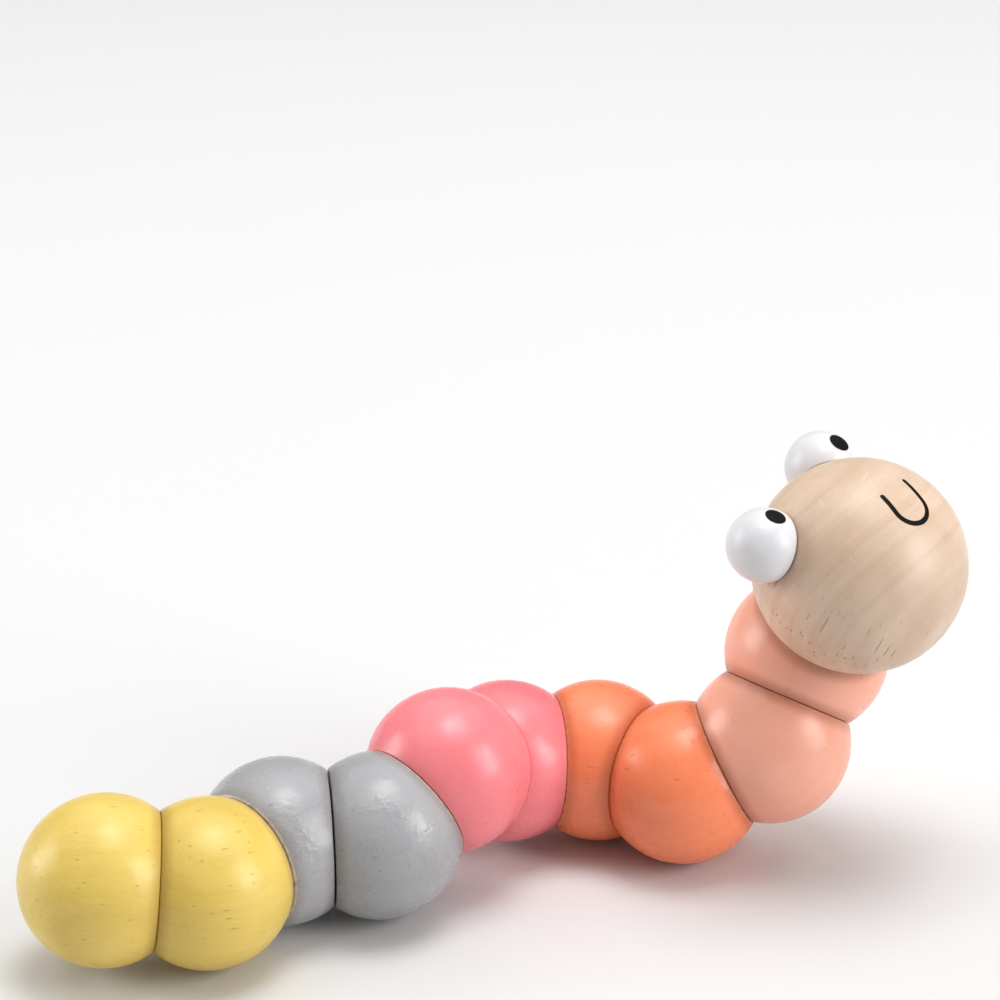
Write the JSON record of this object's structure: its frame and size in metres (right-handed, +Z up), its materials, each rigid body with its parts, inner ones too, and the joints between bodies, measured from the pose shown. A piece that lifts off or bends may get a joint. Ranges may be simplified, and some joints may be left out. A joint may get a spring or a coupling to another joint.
{
  "type": "wooden twisting worm toy",
  "caption": "Chain of painted wooden balls with slanted flat faces and a bare-wood head with eyes, strung on elastic, each ball turning on the next.",
  "frame": {"origin": "middle of the bottom of the bounding box, on the surface that the worm stands on", "axes": "+Z up, +X from the tail towards the head along the longest side of the box, +Y away from the camera of the picture"},
  "size_m": [0.189, 0.0846, 0.0881],
  "materials": {
    "yellow_paint": "satin yellow paint over beech",
    "gray_paint": "satin gray paint over beech",
    "pink_paint": "satin pink paint over beech",
    "orange_paint": "satin orange paint over beech",
    "coral_paint": "satin coral paint over beech",
    "bare_beech": "smooth sanded beech, clear satin",
    "white_paint": "satin white paint over beech",
    "dowel_wood": "plain turned beech",
    "elastic": "white braided elastic"
  },
  "bodies": {
    "tail": {"segment_01": "yellow_paint", "elastic_cord_01": "elastic", "tail_knot": "elastic", "tail_plug": "dowel_wood"},
    "ball_02": {"segment_02": "yellow_paint", "elastic_cord_02": "elastic"},
    "ball_03": {"segment_03": "gray_paint", "elastic_cord_03": "elastic"},
    "ball_04": {"segment_04": "gray_paint", "elastic_cord_04": "elastic"},
    "ball_05": {"segment_05": "pink_paint", "elastic_cord_05": "elastic"},
    "ball_06": {"segment_06": "pink_paint", "elastic_cord_06": "elastic"},
    "ball_07": {"segment_07": "orange_paint", "elastic_cord_07": "elastic"},
    "ball_08": {"segment_08": "orange_paint", "elastic_cord_08": "elastic"},
    "ball_09": {"segment_09": "coral_paint", "elastic_cord_09": "elastic"},
    "ball_10": {"segment_10": "coral_paint", "elastic_cord_10": "elastic"},
    "head": {"head_ball": "bare_beech", "left_eye": "white_paint", "right_eye": "white_paint", "left_eye_dowel": "dowel_wood", "right_eye_dowel": "dowel_wood", "elastic_cord_head": "elastic", "head_knot": "elastic", "head_plug": "dowel_wood"}
  },
  "joints": [
    {"name": "ball_06_turn", "type": "hinge", "parent": "ball_07", "child": "ball_06", "pos_m": [0.01077, 0.02361, 0.01802], "axis": [-0.9787, -0.1772, 0.104], "continuous": true},
    {"name": "ball_05_turn", "type": "hinge", "parent": "ball_06", "child": "ball_05", "pos_m": [-0.005, 0.01442, 0.02207], "axis": [-0.5989, -0.7422, 0.3008], "continuous": true},
    {"name": "ball_04_turn", "type": "hinge", "parent": "ball_05", "child": "ball_04", "pos_m": [-0.01785, 0.00086, 0.02117], "axis": [-0.686, -0.6138, -0.3906], "continuous": true},
    {"name": "ball_03_turn", "type": "hinge", "parent": "ball_04", "child": "ball_03", "pos_m": [-0.03464, -0.00649, 0.01743], "axis": [-0.9925, -0.1213, 0.0162], "continuous": true},
    {"name": "ball_02_turn", "type": "hinge", "parent": "ball_03", "child": "ball_02", "pos_m": [-0.0512, -0.01518, 0.01732], "axis": [-0.6638, -0.7474, -0.0276], "continuous": true},
    {"name": "tail_turn", "type": "hinge", "parent": "ball_02", "child": "tail", "pos_m": [-0.06766, -0.024, 0.01835], "axis": [-0.9823, -0.1346, 0.1305], "continuous": true},
    {"name": "ball_08_turn", "type": "hinge", "parent": "ball_07", "child": "ball_08", "pos_m": [0.02914, 0.02025, 0.01698], "axis": [0.8582, -0.5133, -0.0003], "continuous": true},
    {"name": "ball_09_turn", "type": "hinge", "parent": "ball_08", "child": "ball_09", "pos_m": [0.04668, 0.0155, 0.02141], "axis": [0.8957, 0.0382, 0.443], "continuous": true},
    {"name": "ball_10_turn", "type": "hinge", "parent": "ball_09", "child": "ball_10", "pos_m": [0.05971, 0.01957, 0.03419], "axis": [0.4072, 0.3689, 0.8355], "continuous": true},
    {"name": "head_turn", "type": "hinge", "parent": "ball_10", "child": "head", "pos_m": [0.06709, 0.01992, 0.05137], "axis": [0.3308, -0.334, 0.8826], "continuous": true}
  ]
}
